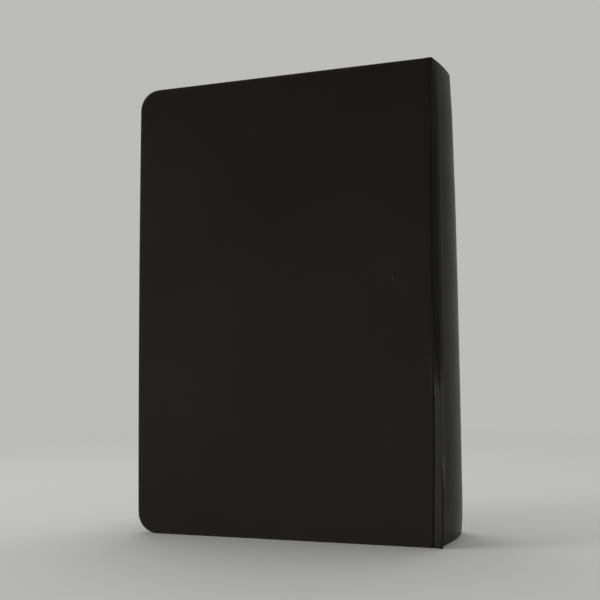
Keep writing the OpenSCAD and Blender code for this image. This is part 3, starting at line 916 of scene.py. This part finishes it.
# Ring plate: nickel-plated steel strip, rolled to an arch with a wall and a folded lip on each side. It
# has six slots for the rings and an opening for a lever at each end, and is riveted to the spine.
plate_low, plate_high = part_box("ring_base_plate")
SEAT_X = plate_high.x / MM
PLATE_HALF = plate_high.y / MM
PLATE_CROWN = SEAT_X - plate_low.x / MM
PLATE_Z = (plate_low.z / MM, plate_high.z / MM)
PLATE_T = 0.9
PLATE_WALL_H = 3.8
PLATE_LIP = 2.6
PLATE_BEND_R = 0.6
NOTCH_W, NOTCH_D = 16.4, 9.0
MIDDLE_Z = HEIGHT / 2
RING_FROM_END = 17
RING_PITCH = (PLATE_Z[1] - PLATE_Z[0]) / 2 - RING_FROM_END
WIRE_R = 1.6
SHANK_U = 7.5
SLOT_PLAY = 0.5
SLOT_U = (SHANK_U - WIRE_R - SLOT_PLAY, PLATE_HALF - PLATE_T - 0.3)
SLOT_HALF = WIRE_R + SLOT_PLAY


def on_seat(u, v, z):
    """Points of the ring mechanism: u across the spine, v up from the plate's seat."""
    return np.stack([SEAT_X - v, u, z], -1)


def nickel_plate():
    """Bright nickel on steel: warm grey metal, faintly brushed, with dull patches and fine scratches."""
    material, tree, shader, place = new_material("nickel_plate")
    drawn = add_node(tree, "ShaderNodeMapping", {"Vector": place, "Scale": (1.0, 1.0, 0.06)})
    brushed = rough_value(tree, drawn.outputs["Vector"], 2600, 0, 1, 3)
    dull = rough_value(tree, place, 130, 0.14, 0.3, 5)
    shader.inputs["Metallic"].default_value = 1.0
    tree.links.new(dull, shader.inputs["Roughness"])
    tone = tint(tree, rough_value(tree, place, 70, 0, 1, 4), (0.56, 0.545, 0.515), (0.68, 0.67, 0.64))
    tree.links.new(tone, shader.inputs["Base Color"])
    raise_bumps(tree, shader, brushed, 0.003)
    return material


def add_bevel(made, width):
    """Breaks the sharp edges of a metal piece by a small round."""
    bevel = made.modifiers.new("broken_edges", "BEVEL")
    bevel.width = width * MM
    bevel.segments = 2
    bevel.limit_method = "ANGLE"
    bevel.angle_limit = math.radians(50)


def ring_plate():
    """The plate's section, carried along the spine, with its slots and end openings left out."""
    mid = PLATE_T / 2
    wall_u = PLATE_HALF - mid
    rise = PLATE_CROWN - PLATE_WALL_H
    arch_r = (PLATE_HALF**2 + rise**2) / (2 * rise) - mid
    arch_v = PLATE_CROWN - mid - arch_r
    arch_u = np.concatenate([
        np.linspace(0, SLOT_U[0], 8), np.linspace(SLOT_U[0], NOTCH_W / 2, 5)[1:],
        np.linspace(NOTCH_W / 2, SLOT_U[1], 6)[1:],
    ])
    arch = np.stack([arch_u, arch_v + np.sqrt(arch_r**2 - arch_u**2)], -1)
    bend = np.radians(np.linspace(0, 90, 7))[1:]
    foot = np.stack([
        wall_u - PLATE_BEND_R * (1 - np.cos(bend)), mid + PLATE_BEND_R * (1 - np.sin(bend)),
    ], -1)
    shoulder_v = arch_v + math.sqrt(arch_r**2 - SLOT_U[1] ** 2)
    half = np.concatenate([
        arch,
        [(wall_u - 0.25, shoulder_v - 0.38), (wall_u - 0.06, shoulder_v - 0.75), (wall_u, shoulder_v - 1.3)],
        foot,
        [(PLATE_HALF - PLATE_LIP, mid)],
    ])
    section = np.concatenate([half[:0:-1] * (-1, 1), half])
    ring_z = MIDDLE_Z + RING_PITCH * np.array([-1, 0, 1])
    ends = np.array([PLATE_Z[0], PLATE_Z[0] + NOTCH_D, PLATE_Z[1] - NOTCH_D, PLATE_Z[1]])
    rows = np.unique(np.concatenate([
        ends, (ring_z[:, None] + np.array([-SLOT_HALF, SLOT_HALF])).ravel(), np.linspace(*PLATE_Z, 40),
    ]).round(4))
    u, v = section.T
    cell_u = np.abs((u[1:] + u[:-1]) / 2)
    on_arch = (v[1:] + v[:-1]) / 2 > PLATE_WALL_H - 0.6
    cell_z = (rows[1:] + rows[:-1]) / 2
    in_slot = (np.abs(cell_z[:, None] - ring_z) < SLOT_HALF).any(1)
    at_end = (cell_z < ends[1]) | (cell_z > ends[2])
    slot_cells = on_arch & (cell_u > SLOT_U[0]) & (cell_u < SLOT_U[1])
    notch_cells = on_arch & (cell_u < NOTCH_W / 2)
    cut = (in_slot[:, None] & slot_cells) | (at_end[:, None] & notch_cells)
    out = -to_left(section) * mid

    def lay(line):
        """Points of a section line, carried over all the rows."""
        return on_seat(*np.broadcast_arrays(line[:, 0], line[:, 1], rows[:, None]))

    points, faces, _ = shell(lay(section - out), lay(section + out), ~cut)
    made = piece(
        "ring_plate", points, faces, nickel, "spine", ["ring_base_plate"], crisp=40
    )
    add_bevel(made, 0.18)


nickel = nickel_plate()
ring_plate()


# Rivets and lever pins: turned nickel-plated steel. The rivets' domes clamp the plate's crown, and the
# pins run across the plate through both walls, with their ends peened.
RIVET_HEAD_R = 4.2
RIVET_HEAD_H = 1.6
RIVET_SHANK_R = 2.2
RIVET_REACH = 2.4
RIVET_FROM_RING = 28
RIVET_PITCH = RING_PITCH - RIVET_FROM_RING
PIN_R = 0.8
PIN_V = 2.2
PIN_PAST_WALL = 0.25
PIN_FROM_END = 5.0
PIN_PITCH = (PLATE_Z[1] - PLATE_Z[0]) / 2 - PIN_FROM_END


def tube(rings):
    """A skin over a row of rings, closed by a point at the middle of the first and of the last ring."""
    rows, columns = rings.shape[:2]
    index = np.arange(rows * columns).reshape(rows, columns)
    after = np.roll(index, -1, 1)
    quads = np.stack([index[:-1], after[:-1], after[1:], index[1:]], -1).reshape(-1, 4)
    first, last = rows * columns, rows * columns + 1
    caps = [np.stack([after[0], index[0], np.full(columns, first)], -1)]
    caps.append(np.stack([index[-1], after[-1], np.full(columns, last)], -1))
    caps = np.concatenate(caps)
    points = np.concatenate([rings.reshape(-1, 3), rings[[0, -1]].mean(1)])
    a, b, c, d = (points[quads[:, i]] for i in range(4))
    turned_in = np.sum(np.cross(a, b) * c + np.cross(a, c) * d) < 0
    faces = [*quads.tolist(), *caps.tolist()]
    return points, [face[::-1] for face in faces] if turned_in else faces


def turned(name, profile, centre, axis, body, node):
    """A profile of radius and height turned about an axis line through centre, from pole to pole."""
    radius, height = np.asarray(profile, float).T
    angle = np.linspace(0, 2 * np.pi, 40, endpoint=False)
    rings = np.empty((len(radius), len(angle), 3))
    first, second = [k for k in range(3) if k != axis]
    rings[..., axis] = height[:, None] + centre[axis]
    rings[..., first] = centre[first] + radius[:, None] * np.cos(angle)
    rings[..., second] = centre[second] + radius[:, None] * np.sin(angle)
    points, faces = tube(rings)
    piece(name, points, faces, nickel, body, [node], crisp=45)


for end, sign in (("upper", 1), ("lower", -1)):
    dome_r = (RIVET_HEAD_R**2 + RIVET_HEAD_H**2) / (2 * RIVET_HEAD_H)
    r = RIVET_HEAD_R * np.sin(np.linspace(0.04, np.pi / 2, 14))
    top = PLATE_CROWN + RIVET_HEAD_H - dome_r + np.sqrt(dome_r**2 - r**2)
    under_head = [(RIVET_HEAD_R, PLATE_CROWN - 0.7), (RIVET_SHANK_R, PLATE_CROWN - 0.8)]
    rivet = [*zip(r, top), *under_head, (RIVET_SHANK_R, -RIVET_REACH)]
    profile = [(radius, -height) for radius, height in rivet]
    turned(
        f"{end}_plate_rivet", profile, (SEAT_X, 0, MIDDLE_Z + sign * RIVET_PITCH), 0, "spine", f"{end}_rivet"
    )
    reach = PLATE_HALF + PIN_PAST_WALL
    pin = [(0.4, -reach), (0.75, -reach + 0.1), (0.95, -reach + 0.3), (PIN_R, -reach + 0.35)]
    pin = pin + [(radius, -along) for radius, along in pin[::-1]]
    pin_z = MIDDLE_Z + sign * PIN_PITCH
    turned(f"{end}_hinge_pin", pin, (SEAT_X - PIN_V, 0, pin_z), 1, "spine", f"{end}_lever_pin")


# Rings: three pairs of half rings of bright round wire, each riveted into its blade. A cone on the back
# half's tip fits a socket in the front half's. The blades are flat steel, hidden under the plate.
RING_R = 31.75 / 2 + WIRE_R
BEND_R = 3.5
BEND_V = 3.5
FOOT_V = 1.9
TIP_GAP = 0.1
CONE_H, SOCKET_D = 1.0, 1.1
# Radii at the tip: a broken edge, the mouth of the cone or socket, and its end.
TIP_R = np.array([WIRE_R - 0.12, 1.05, 0.4, 0.15])


def half_ring(side, name, z, body):
    """Round wire carried along its foot, the bend above it and the round part, up to the tip."""
    bend_u = SHANK_U + BEND_R
    foot_angle = math.asin(bend_u / (RING_R + BEND_R))
    ring_v = BEND_V + (RING_R + BEND_R) * math.cos(foot_angle)
    bend = np.linspace(np.pi, np.pi / 2 + foot_angle, 12)
    round_part = np.linspace(foot_angle - np.pi / 2, np.pi / 2 - TIP_GAP / 2 / RING_R, 64)[1:]
    path = np.concatenate([
        [(SHANK_U, FOOT_V), (SHANK_U, (FOOT_V + BEND_V) / 2)],
        np.stack([bend_u + BEND_R * np.cos(bend), BEND_V + BEND_R * np.sin(bend)], -1),
        np.stack([RING_R * np.cos(round_part), ring_v + RING_R * np.sin(round_part)], -1),
    ])
    normal = to_left(path)
    radius = np.full(len(path), WIRE_R)
    point = CONE_H if side == "back" else -SOCKET_D
    ahead = np.array([0, 0.1, point + 0.1, point + 0.1])
    end = path[-1] + np.stack([-ahead, 0 * ahead], -1)
    path = np.concatenate([path, end])
    normal = np.concatenate([normal, np.repeat(normal[-1:], len(end), 0)])
    radius = np.concatenate([radius, TIP_R])
    angle = np.linspace(0, 2 * np.pi, 28, endpoint=False)
    ring = path[:, None] + normal[:, None] * (radius[:, None] * np.cos(angle))[..., None]
    height = z + radius[:, None] * np.sin(angle)
    points, faces = tube(on_seat(SIDES[side] * ring[..., 0], ring[..., 1], height))
    piece(f"{name}_half", points, faces, nickel, body, [name], crisp=50)


for side in SIDES:
    for label, step in (("upper", 1), ("middle", 0), ("lower", -1)):
        half_ring(side, f"{side}_ring_{label}", MIDDLE_Z + step * RING_PITCH, f"{side}_ring_arm")
    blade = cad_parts[f"{side}_blade"]
    blade.data.materials.clear()
    blade.data.materials.append(nickel)


# Levers: stamped nickel-plated steel, curled round the pin. Inside the plate a narrow tongue lifts the
# blades, and outside a thumb tab stands up and curls outwards at its top.
LEVER_HALF = 7.0
TONGUE_HALF = 2.0
LEVER_T = 1.0
# Shares of the strip's length: where the tongue widens to the tab, and where the tab's tip rounds off.
WIDENS_FROM, WIDENS_OVER = 0.2, 0.06
ROUNDS_FROM = 0.66
ROUNDS_BY = 3.6
# The bent strip seen from its edge, as height over the seat and distance outwards from the pin.
LEVER_PATH = [
    (0.6, -5.0), (0.6, -2.6), (0.78, -0.9), (1.3, 0.55), (2.3, 1.1), (3.5, 0.75), (5.0, 0.25), (8.0, 0.0),
    (12.0, 0.1), (14.6, 0.4), (16.3, 1.0), (17.1, 1.9), (16.9, 2.7), (16.2, 2.9),
]


def thumb_lever(end, sign):
    """A strip carried along its bent path: narrow in the tongue, wide in the tab, round at the tip."""
    path = smooth_curve(LEVER_PATH, 90)
    along = np.linspace(0, 1, len(path))
    half = TONGUE_HALF + (LEVER_HALF - TONGUE_HALF) * ease((along - WIDENS_FROM) / WIDENS_OVER)
    tip = np.clip((along - ROUNDS_FROM) / (1 - ROUNDS_FROM), 0, 1)
    half = half - ROUNDS_BY * (1 - np.sqrt(1 - tip**2))
    across = np.linspace(-1, 1, 13)
    out = to_left(path) * LEVER_T / 2
    pin_z = MIDDLE_Z + sign * PIN_PITCH
    u = half[:, None] * across

    def lay(line):
        """Points of the strip, from a line of heights and distances outwards."""
        v = np.repeat(line[:, :1], len(across), 1)
        return on_seat(u, v, pin_z + sign * np.repeat(line[:, 1:], len(across), 1))

    points, faces, _ = shell(lay(path + out), lay(path - out))
    made = piece(
        f"{end}_thumb_lever", points, faces, nickel, f"{end}_lever", [f"{end}_lever"],
        crisp=40,
    )
    add_bevel(made, 0.25)


for end, sign in (("upper", 1), ("lower", -1)):
    thumb_lever(end, sign)
